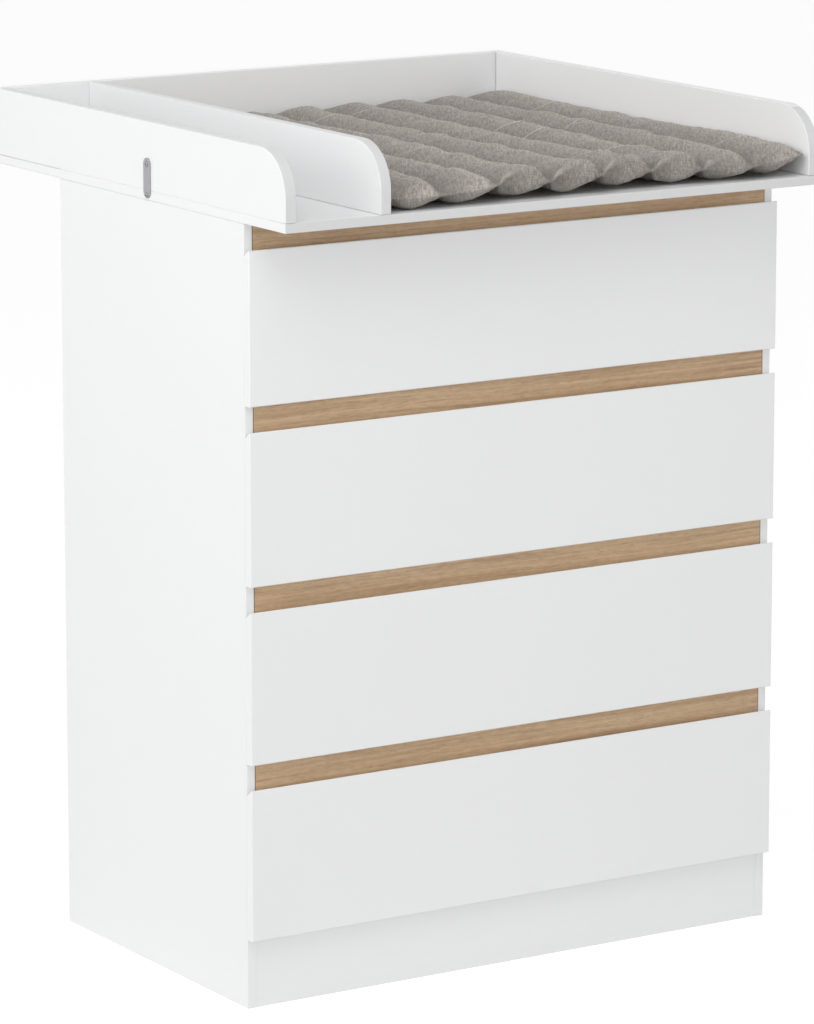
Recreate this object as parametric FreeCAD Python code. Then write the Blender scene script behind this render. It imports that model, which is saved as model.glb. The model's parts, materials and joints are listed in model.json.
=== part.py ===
import FreeCAD, Part
import math
import os

# Changing dresser: a chest of four drawers that carries a changing top with a channelled mat.
# Millimetres. The origin is on the floor, at the centre of the changing top's outline.
# +X is the user's right, +Y runs to the back and +Z is up.

# ---- Driving dimensions: chest ------------------------------------------------------------
chest_width = 800.0             # over the side panels
chest_depth = 470.0             # side panels, front edge to rear edge
board = 12.0                    # coated board of the chest
edge_bevel = 0.6                # break left along the banded edges
plinth_height = 90.0
plinth_setback = 1.0            # plinth face behind the side panels' front edges
rear_rail_inset = 20.0          # rear foot rail ahead of the back panel
drawer_count = 4
back_board = 3.0
back_groove_depth = 6.0
back_groove_clearance = 0.1     # per side of the back panel
back_edge_clearance = 0.5       # back panel's edge to the bottom of its groove
back_lip = 10.0                 # side panel left behind the back panel
back_foot_gap = 8.0             # back panel's lower edge above the floor

# ---- Driving dimensions: drawer fronts and grip strips -------------------------------------
front_height = 195.0
front_board = 12.0
front_standoff = 0.5            # front's rear face ahead of the side panels
front_bevel = 1.0
finger_gap = 32.5               # open height between one front and the next
grip_rim = 2.0                  # flat left at the top edge, ahead of the sloped grip
grip_depth = 8.5                # fall of the slope from the rim to the rear face
grip_root_radius = 5.0          # rounding where the slope meets the rear face
strip_board = 15.0
strip_lap = 6.0                 # strip hidden behind the front above and the front below

# ---- Driving dimensions: drawer boxes -------------------------------------------------------
box_board = 12.0
box_side_height = 160.0
box_depth = 430.0
box_lift = 14.0                 # lower edge of the box above the lower edge of its front
bottom_board = 3.0
bottom_lift = 9.0               # groove above the lower edge of the box
bottom_groove_depth = 6.0
bottom_groove_clearance = 0.2
bottom_edge_clearance = 0.5
box_back_drop = 12.0            # back's upper edge below the sides' upper edges

# ---- Driving dimensions: three-part drawer runners -----------------------------------------
runner_space = 12.7             # side panel to drawer side
runner_length = 400.0
runner_height = 45.0
runner_steel = 1.2
running_gap = 0.3               # between one runner member and the next
runner_setback = 4.0            # runner's front end behind the side panel's front edge
outer_reach = 9.0               # side panel to the lips of the cabinet member
outer_lip = 4.2
middle_lip = 4.5
middle_start = 3.3              # side panel to the web of the middle member
runner_lift = 64.0              # runner's centre line above the lower edge of the box
stop_height = 26.0              # tab that closes the rear end of the cabinet member

# ---- Driving dimensions: fasteners ---------------------------------------------------------
hole_clearance = 0.1            # on the radius of every drilled hole
cam_radius = 7.5
cam_depth = 9.5
cam_distance = 34.0             # cam's centre behind the front
cam_slot_width = 2.4
cam_slot_depth = 1.5

# ---- Driving dimensions: changing top ------------------------------------------------------
top_overhang_front = 100.0      # base board ahead of the side panels
top_overhang_rear = 183.0
base_board = 12.0
rear_board_bevel = 1.2          # shows as a dark line under the walls and at the joint
wall_board = 15.0
wall_height = 88.0
wall_corner_radius = 60.0
storage_width = 121.0           # tray between the left wall and the divider
plate_length = 51.0
plate_width = 16.0
plate_thickness = 2.0
plate_lift = 3.0                # plate's lower end above the underside of the base board
plate_from_front = 238.0        # plate's centre behind the side panels' front edges
plate_screw_radius = 3.4
plate_screw_dome = 1.0
plate_screw_bevel = 0.6
plate_shank_radius = 1.9
plate_screw_grip = 10.0         # length in the board

# ---- Driving dimensions: mat ---------------------------------------------------------------
mat_side_clearance = 2.0        # on each side, to the divider and to the right wall
mat_rear_clearance = 3.0
mat_front_margin = 5.0          # mat's front seam behind the base board's front edge
mat_channels = 8
mat_crest = 20.5                # top of a roll above the seams
mat_belly = 17.5                # underside of a roll below the seams
mat_seam = 1.0                  # half thickness where the two faces are sewn together
mat_end_run = 70.0              # length over which a roll swells from its end seam
mat_end_steps = (0.0, 0.15, 0.5, 1.0)
mat_end_swell = 0.04            # share of the full swell that is left at the end seam
mat_clearance = 0.3

# ---- Derived levels and planes ---------------------------------------------------------------
drawer_pitch = front_height + finger_gap
chest_height = plinth_height + drawer_count * drawer_pitch
top_depth = top_overhang_front + chest_depth + top_overhang_rear
top_front = -top_depth / 2
top_rear = top_depth / 2
side_front = top_front + top_overhang_front
side_rear = side_front + chest_depth
outer_x = chest_width / 2
inner_x = outer_x - board
back_front = side_rear - back_lip - back_board
front_rear_face = side_front - front_standoff
front_face = front_rear_face - front_board
base_top = chest_height + base_board
wall_top = base_top + wall_height
wall_inner_x = outer_x - wall_board
divider_left = -wall_inner_x + storage_width
divider_right = divider_left + wall_board
box_outer_x = inner_x - runner_space
box_inner_x = box_outer_x - box_board
box_rear = front_rear_face + box_depth


def vec(x, y, z):
    return FreeCAD.Vector(x, y, z)


def box(x, y, z):
    """A box between (low, high) limits along X, Y and Z."""
    return Part.makeBox(x[1] - x[0], y[1] - y[0], z[1] - z[0], vec(x[0], y[0], z[0]))


def rod(radius, start, direction, length):
    """A round rod or hole from start along direction."""
    return Part.makeCylinder(radius, length, start, direction)


def prism(points, direction):
    """A closed outline of straight runs, carried along direction."""
    outline = Part.makePolygon(points + points[:1])
    return Part.Face(outline).extrude(direction)


def bevelled(shape, size, wanted=None):
    """Breaks the edges for which wanted(edge) is true, or all of them."""
    edges = [edge for edge in shape.Edges if wanted is None or wanted(edge)]
    return shape.makeChamfer(size, edges)


def mirrored(shape):
    return shape.mirror(vec(0, 0, 0), vec(1, 0, 0))


def cam_fitting(centre):
    """The turning cam that draws a drawer side to its front, in the side's inner face.

    centre lies on the right-hand side's inner face, and the driver slot points at the front.
    """
    housing = rod(cam_radius, centre, to_right, cam_depth)
    slot = box((centre.x, centre.x + cam_slot_depth), (centre.y - cam_radius, centre.y + cam_radius),
               (centre.z - cam_slot_width / 2, centre.z + cam_slot_width / 2))
    return housing.cut(slot)


def cam_pocket(centre):
    """Room for a cam in the right-hand side."""
    return rod(cam_radius + hole_clearance, centre, to_right, cam_depth + hole_clearance)


pieces = {}
to_right = vec(1, 0, 0)
to_left = vec(-1, 0, 0)
to_back = vec(0, 1, 0)

# ---- Drawer levels, top drawer first ---------------------------------------------------------
front_levels = [chest_height - drawer_pitch * (row + 1) for row in range(drawer_count)]

# ---- Runners: places shared by the side panels and the drawers -------------------------------
runner_front = side_front + runner_setback
runner_rear = runner_front + runner_length


def runner_level(front_level):
    """Centre line of the runners of the drawer whose front starts at front_level."""
    return front_level + box_lift + runner_lift


# ---- Chest: panels between the two sides -----------------------------------------------------
top_panel_low = chest_height - board
bottom_panel_top = plinth_height + board
strip_rear = side_front + strip_board
panel_span = (-inner_x, inner_x)

top_panel = box(panel_span, (strip_rear, back_front), (top_panel_low, chest_height))
bottom_panel = box(panel_span, (side_front, back_front), (plinth_height, bottom_panel_top))
plinth_front = side_front + plinth_setback
plinth = box(panel_span, (plinth_front, plinth_front + board), (0, plinth_height))
rear_rail_rear = back_front - rear_rail_inset
rear_rail = box(panel_span, (rear_rail_rear - board, rear_rail_rear), (0, plinth_height))


def along_x(edge):
    return abs(edge.Vertexes[0].X - edge.Vertexes[-1].X) > chest_width / 2


strips = []
for level in front_levels:
    strip_low = level + front_height - strip_lap
    strip_high = min(level + drawer_pitch + strip_lap, chest_height)
    strip = box(panel_span, (side_front, strip_rear), (strip_low, strip_high))
    strips.append(bevelled(strip, edge_bevel, along_x))

# ---- Chest: side panels and back -------------------------------------------------------------
side = box((inner_x, outer_x), (side_front, side_rear), (0, chest_height))
side = bevelled(side, edge_bevel)
back_groove = box((inner_x, inner_x + back_groove_depth),
                  (back_front - back_groove_clearance,
                   back_front + back_board + back_groove_clearance), (0, chest_height))
side = side.cut(back_groove)

back_edge_x = inner_x + back_groove_depth - back_edge_clearance
back_panel = box((-back_edge_x, back_edge_x), (back_front, back_front + back_board),
                 (back_foot_gap, chest_height))

pieces["side_panel_right"] = side
pieces["side_panel_left"] = mirrored(side)
pieces["top_panel"] = top_panel
pieces["bottom_panel"] = bottom_panel
pieces["plinth_board"] = plinth
pieces["rear_rail"] = rear_rail
pieces["back_panel"] = back_panel
for row, strip in enumerate(strips):
    pieces["grip_strip_%d" % (row + 1)] = strip

# ---- Runners: three nested steel sections per side -------------------------------------------
half_outer = runner_height / 2
half_middle = half_outer - runner_steel - running_gap
middle_reach = outer_reach - runner_steel - running_gap
inner_start = middle_start + runner_steel + running_gap
half_inner = half_middle - runner_steel - running_gap
half_neck = half_middle - middle_lip - running_gap

outer_section = [(0, half_outer),
                 (outer_reach, half_outer),
                 (outer_reach, half_outer - outer_lip),
                 (outer_reach - runner_steel, half_outer - outer_lip),
                 (outer_reach - runner_steel, half_outer - runner_steel),
                 (runner_steel, half_outer - runner_steel)]
middle_section = [(middle_start, half_middle),
                  (middle_reach, half_middle),
                  (middle_reach, half_middle - middle_lip),
                  (middle_reach - runner_steel, half_middle - middle_lip),
                  (middle_reach - runner_steel, half_middle - runner_steel),
                  (middle_start + runner_steel, half_middle - runner_steel)]
inner_section = [(runner_space, half_neck),
                 (inner_start + runner_steel, half_neck),
                 (inner_start + runner_steel, half_inner),
                 (inner_start, half_inner),
                 (inner_start, half_neck - runner_steel),
                 (runner_space - runner_steel, half_neck - runner_steel)]


def runner_member(upper_half, level, front, rear):
    """A rolled section: its upper half mirrored downwards and carried from front to rear.

    The first number of each point is the distance from the right side panel.
    """
    lower_half = [(reach, -height) for reach, height in reversed(upper_half)]
    outline = [vec(inner_x - reach, front, level + height)
               for reach, height in upper_half + lower_half]
    return prism(outline, to_back * (rear - front))


for row, front_level in enumerate(front_levels):
    level = runner_level(front_level)
    outer = runner_member(outer_section, level, runner_front, runner_rear)
    stop_low = level - stop_height / 2
    stop = box((inner_x - middle_reach, inner_x - runner_steel),
               (runner_rear - runner_steel, runner_rear), (stop_low, stop_low + stop_height))
    outer = outer.fuse(stop).removeSplitter()
    moving_rear = runner_rear - runner_steel - running_gap
    middle = runner_member(middle_section, level, runner_front, moving_rear)
    inner = runner_member(inner_section, level, runner_front, moving_rear)
    pieces["cabinet_runners_%d" % (row + 1)] = Part.makeCompound([outer, mirrored(outer)])
    pieces["middle_runners_%d" % (row + 1)] = Part.makeCompound([middle, mirrored(middle)])
    pieces["drawer_%d_runners" % (row + 1)] = Part.makeCompound([inner, mirrored(inner)])


# ---- Drawers ---------------------------------------------------------------------------------
def front_blank(level):
    """A drawer front whose upper edge slopes down to the rear, so that fingers hook behind its rim.

    The section runs up the front face, over the flat rim, down the slope and round its foot to
    the rear face.
    """
    top = level + front_height
    rim_rear = front_face + grip_rim
    slope_run = front_rear_face - rim_rear
    slope_length = math.hypot(slope_run, grip_depth)
    slope_angle = math.acos(grip_depth / slope_length)
    foot_cut = grip_root_radius * math.tan(slope_angle / 2)
    foot_y = front_rear_face - foot_cut * slope_run / slope_length
    foot_z = top - grip_depth + foot_cut * grip_depth / slope_length
    foot_end_z = top - grip_depth - foot_cut
    centre_y = front_rear_face - grip_root_radius
    half_turn = slope_angle / 2

    def at(y, z):
        return vec(-outer_x, y, z)

    foot = Part.Arc(at(foot_y, foot_z),
                    at(centre_y + grip_root_radius * math.cos(half_turn),
                       foot_end_z + grip_root_radius * math.sin(half_turn)),
                    at(front_rear_face, foot_end_z)).toShape()
    runs = [Part.makeLine(at(front_rear_face, foot_end_z), at(front_rear_face, level)),
            Part.makeLine(at(front_rear_face, level), at(front_face, level)),
            Part.makeLine(at(front_face, level), at(front_face, top)),
            Part.makeLine(at(front_face, top), at(rim_rear, top)),
            Part.makeLine(at(rim_rear, top), at(foot_y, foot_z)),
            foot]
    outline = Part.Wire(Part.__sortEdges__(runs))
    blank = Part.Face(outline).extrude(to_right * chest_width)
    return bevelled(blank, front_bevel,
                    lambda edge: edge.BoundBox.YMax < front_face + front_bevel / 2)


def drawer(row, level):
    """One drawer closed: front, two sides, back, bottom and the two cams that hold the front."""
    box_low = level + box_lift
    box_high = box_low + box_side_height
    groove_low = box_low + bottom_lift
    groove_high = groove_low + bottom_board + bottom_groove_clearance
    groove_x = box_inner_x + bottom_groove_depth
    groove_y = front_rear_face - bottom_groove_depth
    groove = box((-groove_x, groove_x), (groove_y, box_rear), (groove_low, groove_high))

    front = front_blank(level).cut(groove)
    side_board = box((box_inner_x, box_outer_x), (front_rear_face, box_rear), (box_low, box_high))
    side_board = side_board.cut(groove)
    back_low = groove_low + bottom_board
    back = box((-box_inner_x, box_inner_x), (box_rear - box_board, box_rear),
               (back_low, box_high - box_back_drop))
    bottom_x = groove_x - bottom_edge_clearance
    bottom = box((-bottom_x, bottom_x), (groove_y + bottom_edge_clearance, box_rear),
                 (groove_low, groove_low + bottom_board))

    centre = vec(box_inner_x, front_rear_face + cam_distance, (box_low + box_high) / 2)
    side_board = side_board.cut(cam_pocket(centre))
    cam = cam_fitting(centre)

    name = "drawer_%d_" % (row + 1)
    pieces[name + "front"] = front
    pieces[name + "side_right"] = side_board
    pieces[name + "side_left"] = mirrored(side_board)
    pieces[name + "back"] = back
    pieces[name + "bottom"] = bottom
    pieces[name + "cams"] = Part.makeCompound([cam, mirrored(cam)])


for row, front_level in enumerate(front_levels):
    drawer(row, front_level)


# ---- Changing top ----------------------------------------------------------------------------
def standing_wall(left, rear):
    """A wall on edge from the base board's front edge to rear, its front upper corner round."""
    corner_y = top_front + wall_corner_radius
    corner_z = wall_top - wall_corner_radius
    turn = wall_corner_radius * math.sqrt(0.5)

    def at(y, z):
        return vec(left, y, z)

    corner = Part.Arc(at(top_front, corner_z), at(corner_y - turn, corner_z + turn),
                      at(corner_y, wall_top)).toShape()
    runs = [Part.makeLine(at(top_front, base_top), at(top_front, corner_z)),
            corner,
            Part.makeLine(at(corner_y, wall_top), at(rear, wall_top)),
            Part.makeLine(at(rear, wall_top), at(rear, base_top)),
            Part.makeLine(at(rear, base_top), at(top_front, base_top))]
    outline = Part.Wire(Part.__sortEdges__(runs))
    return bevelled(Part.Face(outline).extrude(to_right * wall_board), edge_bevel)


# The back wall laps over the ends of the side walls. The base is two boards that meet above the
# rear edges of the side panels.
back_wall_front = top_rear - wall_board
wall_left = standing_wall(-outer_x, back_wall_front)
wall_right = standing_wall(wall_inner_x, back_wall_front)
divider = standing_wall(divider_left, back_wall_front)
wall_back = bevelled(box((-outer_x, outer_x), (back_wall_front, top_rear), (base_top, wall_top)),
                     edge_bevel)
base = bevelled(box((-outer_x, outer_x), (top_front, side_rear), (chest_height, base_top)),
                edge_bevel)
rear_base = bevelled(box((-outer_x, outer_x), (side_rear, top_rear), (chest_height, base_top)),
                     rear_board_bevel)

# Steel plates tie the side walls to the base board's edges.
plate_y = side_front + plate_from_front
plate_radius = plate_width / 2
plate_low = chest_height + plate_lift + plate_radius
plate_high = chest_height + plate_lift + plate_length - plate_radius
plate = box((outer_x, outer_x + plate_thickness), (plate_y - plate_radius, plate_y + plate_radius),
            (plate_low, plate_high))
for z in (plate_low, plate_high):
    plate = plate.fuse(rod(plate_radius, vec(outer_x, plate_y, z), to_right, plate_thickness))
plate = plate.removeSplitter()
plate_screws = []
plate_screw_levels = (chest_height + base_board / 2, plate_high)
for z in plate_screw_levels:
    seat = vec(outer_x + plate_thickness, plate_y, z)
    shank_length = plate_thickness + plate_screw_grip
    hole = rod(plate_shank_radius + hole_clearance, seat, to_left, shank_length + hole_clearance)
    plate = plate.cut(hole)
    base = base.cut(hole).cut(mirrored(hole))
    wall_right = wall_right.cut(hole)
    wall_left = wall_left.cut(mirrored(hole))
    head = rod(plate_screw_radius, seat, to_right, plate_screw_dome)
    head = bevelled(head, plate_screw_bevel,
                    lambda edge: edge.BoundBox.XMin > outer_x + plate_thickness + plate_screw_bevel / 2)
    screw = head.fuse(rod(plate_shank_radius, seat, to_left, shank_length)).removeSplitter()
    plate_screws += [screw, mirrored(screw)]

pieces["changing_board"] = base
pieces["rear_board"] = rear_base
pieces["wall_left"] = wall_left
pieces["wall_right"] = wall_right
pieces["wall_back"] = wall_back
pieces["divider"] = divider
pieces["connector_plates"] = Part.makeCompound([plate, mirrored(plate)])
pieces["plate_screws"] = Part.makeCompound(plate_screws)

# ---- Mat: sewn channels that run from front to back ------------------------------------------
mat_left = divider_right + mat_side_clearance
mat_width = wall_inner_x - mat_side_clearance - mat_left
mat_front = top_front + mat_front_margin
mat_length = back_wall_front - mat_rear_clearance - mat_front
mat_seam_level = base_top + mat_clearance + mat_belly
channel_pitch = mat_width / mat_channels


def mat_section(y, swell):
    """The mat cut across its channels: an arc over and an arc under each channel."""
    rise = mat_seam + (mat_crest - mat_seam) * swell
    sink = mat_seam + (mat_belly - mat_seam) * swell
    overs = []
    unders = []
    for channel in range(mat_channels):
        left = mat_left + channel * channel_pitch
        middle = left + channel_pitch / 2
        right = left + channel_pitch
        overs.append(Part.Arc(vec(left, y, mat_seam_level + mat_seam),
                              vec(middle, y, mat_seam_level + rise),
                              vec(right, y, mat_seam_level + mat_seam)).toShape())
        unders.append(Part.Arc(vec(right, y, mat_seam_level - mat_seam),
                               vec(middle, y, mat_seam_level - sink),
                               vec(left, y, mat_seam_level - mat_seam)).toShape())
    mat_right = mat_left + mat_width
    right_edge = Part.makeLine(vec(mat_right, y, mat_seam_level + mat_seam),
                               vec(mat_right, y, mat_seam_level - mat_seam))
    left_edge = Part.makeLine(vec(mat_left, y, mat_seam_level - mat_seam),
                              vec(mat_left, y, mat_seam_level + mat_seam))
    return Part.Wire(overs + [right_edge] + unders[::-1] + [left_edge])


def end_swell(step):
    """Quarter ellipse from the end seam, at step 0, to the full roll, at step 1."""
    return max(math.sqrt(1 - (1 - step) ** 2), mat_end_swell)


front_end = [mat_section(mat_front + mat_end_run * step, end_swell(step))
             for step in mat_end_steps]
rear_end = [mat_section(mat_front + mat_length - mat_end_run * step, end_swell(step))
            for step in reversed(mat_end_steps)]
pieces["changing_mat"] = Part.makeLoft(front_end + rear_end, True, True)

# ---- Files -----------------------------------------------------------------------------------
os.makedirs("parts", exist_ok=True)
for name, shape in pieces.items():
    shape.exportStep("parts/%s.step" % name)
print(len(pieces), "nodes; total height", wall_top)
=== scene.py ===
import json
import math
import bpy
import numpy as np
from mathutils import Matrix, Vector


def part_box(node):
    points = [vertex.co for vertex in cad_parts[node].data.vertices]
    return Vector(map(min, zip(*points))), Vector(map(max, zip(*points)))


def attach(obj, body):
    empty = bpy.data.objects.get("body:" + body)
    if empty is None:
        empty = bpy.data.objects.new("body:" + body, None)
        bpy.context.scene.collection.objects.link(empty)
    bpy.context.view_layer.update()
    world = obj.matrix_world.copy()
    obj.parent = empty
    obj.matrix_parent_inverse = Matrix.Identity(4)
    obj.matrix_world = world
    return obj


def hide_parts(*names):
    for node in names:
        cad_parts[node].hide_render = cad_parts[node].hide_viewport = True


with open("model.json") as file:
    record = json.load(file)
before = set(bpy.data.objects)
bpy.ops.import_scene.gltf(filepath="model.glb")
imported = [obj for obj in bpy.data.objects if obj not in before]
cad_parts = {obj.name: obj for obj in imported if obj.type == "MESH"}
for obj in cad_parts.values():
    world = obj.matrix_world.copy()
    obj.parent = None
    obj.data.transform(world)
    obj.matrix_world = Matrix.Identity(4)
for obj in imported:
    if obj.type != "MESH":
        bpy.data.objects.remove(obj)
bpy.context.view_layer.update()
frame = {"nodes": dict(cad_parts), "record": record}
scene = bpy.context.scene
scene.view_settings.view_transform = "Standard"

# ---------------------------------------------------------------------------------------------
# Studio. A long lens stands to the left of the dresser and looks a little down on it. One soft lamp
# hangs high on the left and a wider one above the front. The room is bright at the sides and dark
# overhead, so upright faces come out pale and shadows stay soft.
# ---------------------------------------------------------------------------------------------
PICTURE_HEIGHT = 1024
LENS_PIXELS, SHIFT_PIXELS = 5223.4, -100
EYE = (-3.6060, -5.7406, 1.9496)
LOOKS_DOWN, LOOKS_RIGHT = 10.593, 32.213
LAMPS_AIM = (0, 0, 1.0)
camera = bpy.data.objects.new("camera", bpy.data.cameras.new("camera"))
scene.collection.objects.link(camera)
camera.data.lens = LENS_PIXELS / PICTURE_HEIGHT * camera.data.sensor_width
camera.data.shift_y = SHIFT_PIXELS / PICTURE_HEIGHT
camera.data.clip_end = 100
camera.location = EYE
camera.rotation_euler = (math.radians(90 - LOOKS_DOWN), 0, math.radians(-LOOKS_RIGHT))
scene.camera = camera


def soft_lamp(name, place, size, power):
    """A square lamp at place that faces LAMPS_AIM."""
    data = bpy.data.lights.new(name, "AREA")
    data.size = size
    data.energy = power
    lamp = bpy.data.objects.new(name, data)
    scene.collection.objects.link(lamp)
    lamp.location = place
    away = np.subtract(place, LAMPS_AIM)
    flat = math.hypot(away[0], away[1])
    lamp.rotation_euler = (math.atan2(flat, away[2]), 0, math.atan2(away[0], -away[1]))


soft_lamp("lamp_left", (-3.6, -0.4, 2.8), size=2.0, power=31)
soft_lamp("lamp_high", (-1.6, -2.0, 4.2), size=3.0, power=68)


class Wire:
    """A socket of a finish. + - * / on it, either way round, add Math nodes."""

    def __init__(self, tree, socket=None):
        self.tree, self.socket = tree, socket

    def add(self, kind, settings=None, values=None, out=0):
        """Adds a node: its settings are set first, then numbers or links go on its sockets."""
        node = self.tree.nodes.new("ShaderNode" + kind)
        for name, value in (settings or {}).items():
            if name == "stops":
                stops = node.color_ramp.elements
                while len(stops) < len(value):
                    stops.new(1.0)
                for stop, (place, shade) in zip(stops, value):
                    stop.position = place
                    stop.color = (*shade, 1.0)
            else:
                setattr(node, name, value)
        for key, value in (values or {}).items():
            if isinstance(value, Wire):
                self.tree.links.new(value.socket, node.inputs[key])
            else:
                node.inputs[key].default_value = value
        return Wire(self.tree, node.outputs[out])

    def close(self, kind, shader):
        """Puts shader on the tree's output: World or Material."""
        output = self.tree.nodes.new("ShaderNodeOutput" + kind)
        self.tree.links.new(shader.socket, output.inputs["Surface"])

    def math(self, operation, *others):
        """A Math node on this socket and others."""
        return self.add("Math", {"operation": operation}, dict(enumerate((self, *others))))

    def __add__(self, other):
        return self.math("ADD", other)

    def __sub__(self, other):
        return self.math("SUBTRACT", other)

    def __mul__(self, other):
        return self.math("MULTIPLY", other)

    def __truediv__(self, other):
        return self.math("DIVIDE", other)

    def __rsub__(self, other):
        return self.add("Math", {"operation": "SUBTRACT"}, {0: other, 1: self})

    __radd__ = __add__
    __rmul__ = __mul__


def seen_directly(wire):
    """1 for what the camera, a mirror or a glass shows, 0 for light on the object."""
    path = wire.tree.nodes.new("ShaderNodeLightPath")
    camera_ray, glossy, through = (Wire(wire.tree, path.outputs[name]) for name in (
        "Is Camera Ray", "Is Glossy Ray", "Is Transmission Ray"))
    return camera_ray.math("MAXIMUM", glossy).math("MAXIMUM", through)


SIDE_LIGHT, TOP_LIGHT = 1.47, 0.0
PURE_WHITE = (1, 1, 1, 1)
world = bpy.data.worlds.new("room")
scene.world = world
world.use_nodes = True
world.node_tree.nodes.clear()
room = Wire(world.node_tree)
upward = room.add("SeparateXYZ", values={0: room.add("TexCoord", out="Generated")}, out="Z")
height = upward.math("MAXIMUM", 0.0)
even = room.add("Background", values={
    "Color": PURE_WHITE, "Strength": SIDE_LIGHT + height * (TOP_LIGHT - SIDE_LIGHT)})
white = room.add("Background", values={"Color": PURE_WHITE, "Strength": 1.0})
room.close("World", room.add("MixShader", values={0: seen_directly(room), 1: even, 2: white}))


def new_finish(name):
    """An empty material and the wire that its nodes are added from."""
    material = bpy.data.materials.new(name)
    material.use_nodes = True
    material.node_tree.nodes.clear()
    return material, Wire(material.node_tree)


def close_finish(material, shader):
    """Puts the shader on the material's output and returns the material."""
    shader.close("Material", shader)
    return material


FLOOR_HALF = 14.0
FLOOR_PAINT = (0.88, 0.88, 0.88, 1)
SHADOW_PAINT, FLOOR_GLOW = (0.36, 0.36, 0.36, 1), 0.79
floor_mesh = bpy.data.meshes.new("floor")
floor_mesh.from_pydata([(-FLOOR_HALF, -FLOOR_HALF, 0.0), (FLOOR_HALF, -FLOOR_HALF, 0.0),
                        (FLOOR_HALF, FLOOR_HALF, 0.0), (-FLOOR_HALF, FLOOR_HALF, 0.0)],
                       [], [(0, 1, 2, 3)])
floor = bpy.data.objects.new("floor", floor_mesh)
scene.collection.objects.link(floor)
floor_finish, wire = new_finish("pale_floor")
paint = wire.add("BsdfDiffuse", values={"Color": FLOOR_PAINT})
shadow = wire.add("BsdfDiffuse", values={"Color": SHADOW_PAINT})
glow = wire.add("Emission", values={"Color": PURE_WHITE, "Strength": FLOOR_GLOW})
pale = wire.add("AddShader", values={0: shadow, 1: glow})
floor_mesh.materials.append(close_finish(
    floor_finish, wire.add("MixShader", values={0: seen_directly(wire), 1: paint, 2: pale})))

# ---------------------------------------------------------------------------------------------
# White boards. The panels, fronts and walls are chipboard with a satin white melamine face. A thin
# band of the same white covers each cut edge, and its glue line shows as a faint line by the rim.
# ---------------------------------------------------------------------------------------------
WHITE = (0.835, 0.838, 0.842)
GLOSS = 0.36
BAND, GLUE_HALF = 0.0008, 0.00012
ON_FACE = 0.0003
GLUE_BROWN = (0.30, 0.29, 0.27, 1)


def object_place(wire):
    """The object's own coordinates."""
    return wire.add("TexCoord", out="Object")


def parts(vector):
    """The x, y and z of a vector."""
    split = vector.add("SeparateXYZ", values={0: vector}).socket.node
    return [Wire(vector.tree, split.outputs[i]) for i in range(3)]


def noise(place, scale, detail=2.0, rough=0.5, distortion=0.0):
    """A noise of 0 to 1 on place."""
    return place.add("TexNoise", values={"Vector": place, "Scale": scale, "Detail": detail,
                                         "Roughness": rough, "Distortion": distortion})


def stretched(place, scale, turn=(0, 0, 0)):
    """Place with its axes stretched by scale, for grain and streaks."""
    return place.add("Mapping", values={"Vector": place, "Scale": scale, "Rotation": turn})


def mixed(factor, first, second):
    """The colour between first and second at factor."""
    return factor.add("Mix", {"data_type": "RGBA"}, {0: factor, 6: first, 7: second}, out=2)


def relief(height, depth, strength=1.0):
    """A bump of that depth in metres, as a normal."""
    return height.add("Bump", values={"Height": height, "Distance": depth, "Strength": strength})


def principled(wire, **values):
    """The surface shader. Names are its sockets, with _ for a space."""
    return wire.add("BsdfPrincipled", values={
        key.replace("_", " "): value for key, value in values.items()})


def rgb(shade, level=1.0):
    """A colour of three numbers as four, times level."""
    return (*(level * part for part in shade), 1.0)


def edge_line(places, low, high):
    """1 on the glue line that lies BAND inside the rim of a board's two faces, else 0. The distance
    to the rim is the least of the distances to the two long pairs of sides."""
    thin = min(range(3), key=lambda axis: high[axis] - low[axis])
    inside = []
    for axis in range(3):
        middle, half = (low[axis] + high[axis]) / 2, (high[axis] - low[axis]) / 2
        inside.append(half - (places[axis] - middle).math("ABSOLUTE"))
    on_face = inside.pop(thin).math("LESS_THAN", ON_FACE)
    nearest = inside[0].math("MINIMUM", inside[1])
    return (nearest - BAND).math("ABSOLUTE").math("LESS_THAN", GLUE_HALF) * on_face


WALLS = ("wall_left", "wall_right", "wall_back", "divider")
# The grey of the painted shadow in the walls' joints and at the side panels' heads, with its reach
# and strength.
SHADOW_GREY = (0.13, 0.125, 0.12, 1)
JOINT_REACH, JOINT_DARK = 0.0012, 0.62
CORNER_DARK = 0.5
RIGHT_CORNER_REACH = 0.0036
UNDER_TOP_EDGE = 0.001
OUTSIDE_DARK, OUTSIDE_END_DARK = 0.07, 0.40
OUTSIDE_FRONT, OUTSIDE_REAR = -0.336, 0.1935
PANEL_HEAD_SHADOW = 0.22


def fading(distance, reach):
    """1 at distance 0, falling on a straight line to 0 at reach."""
    return (1 - distance / reach).math("MAXIMUM", 0.0)


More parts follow.
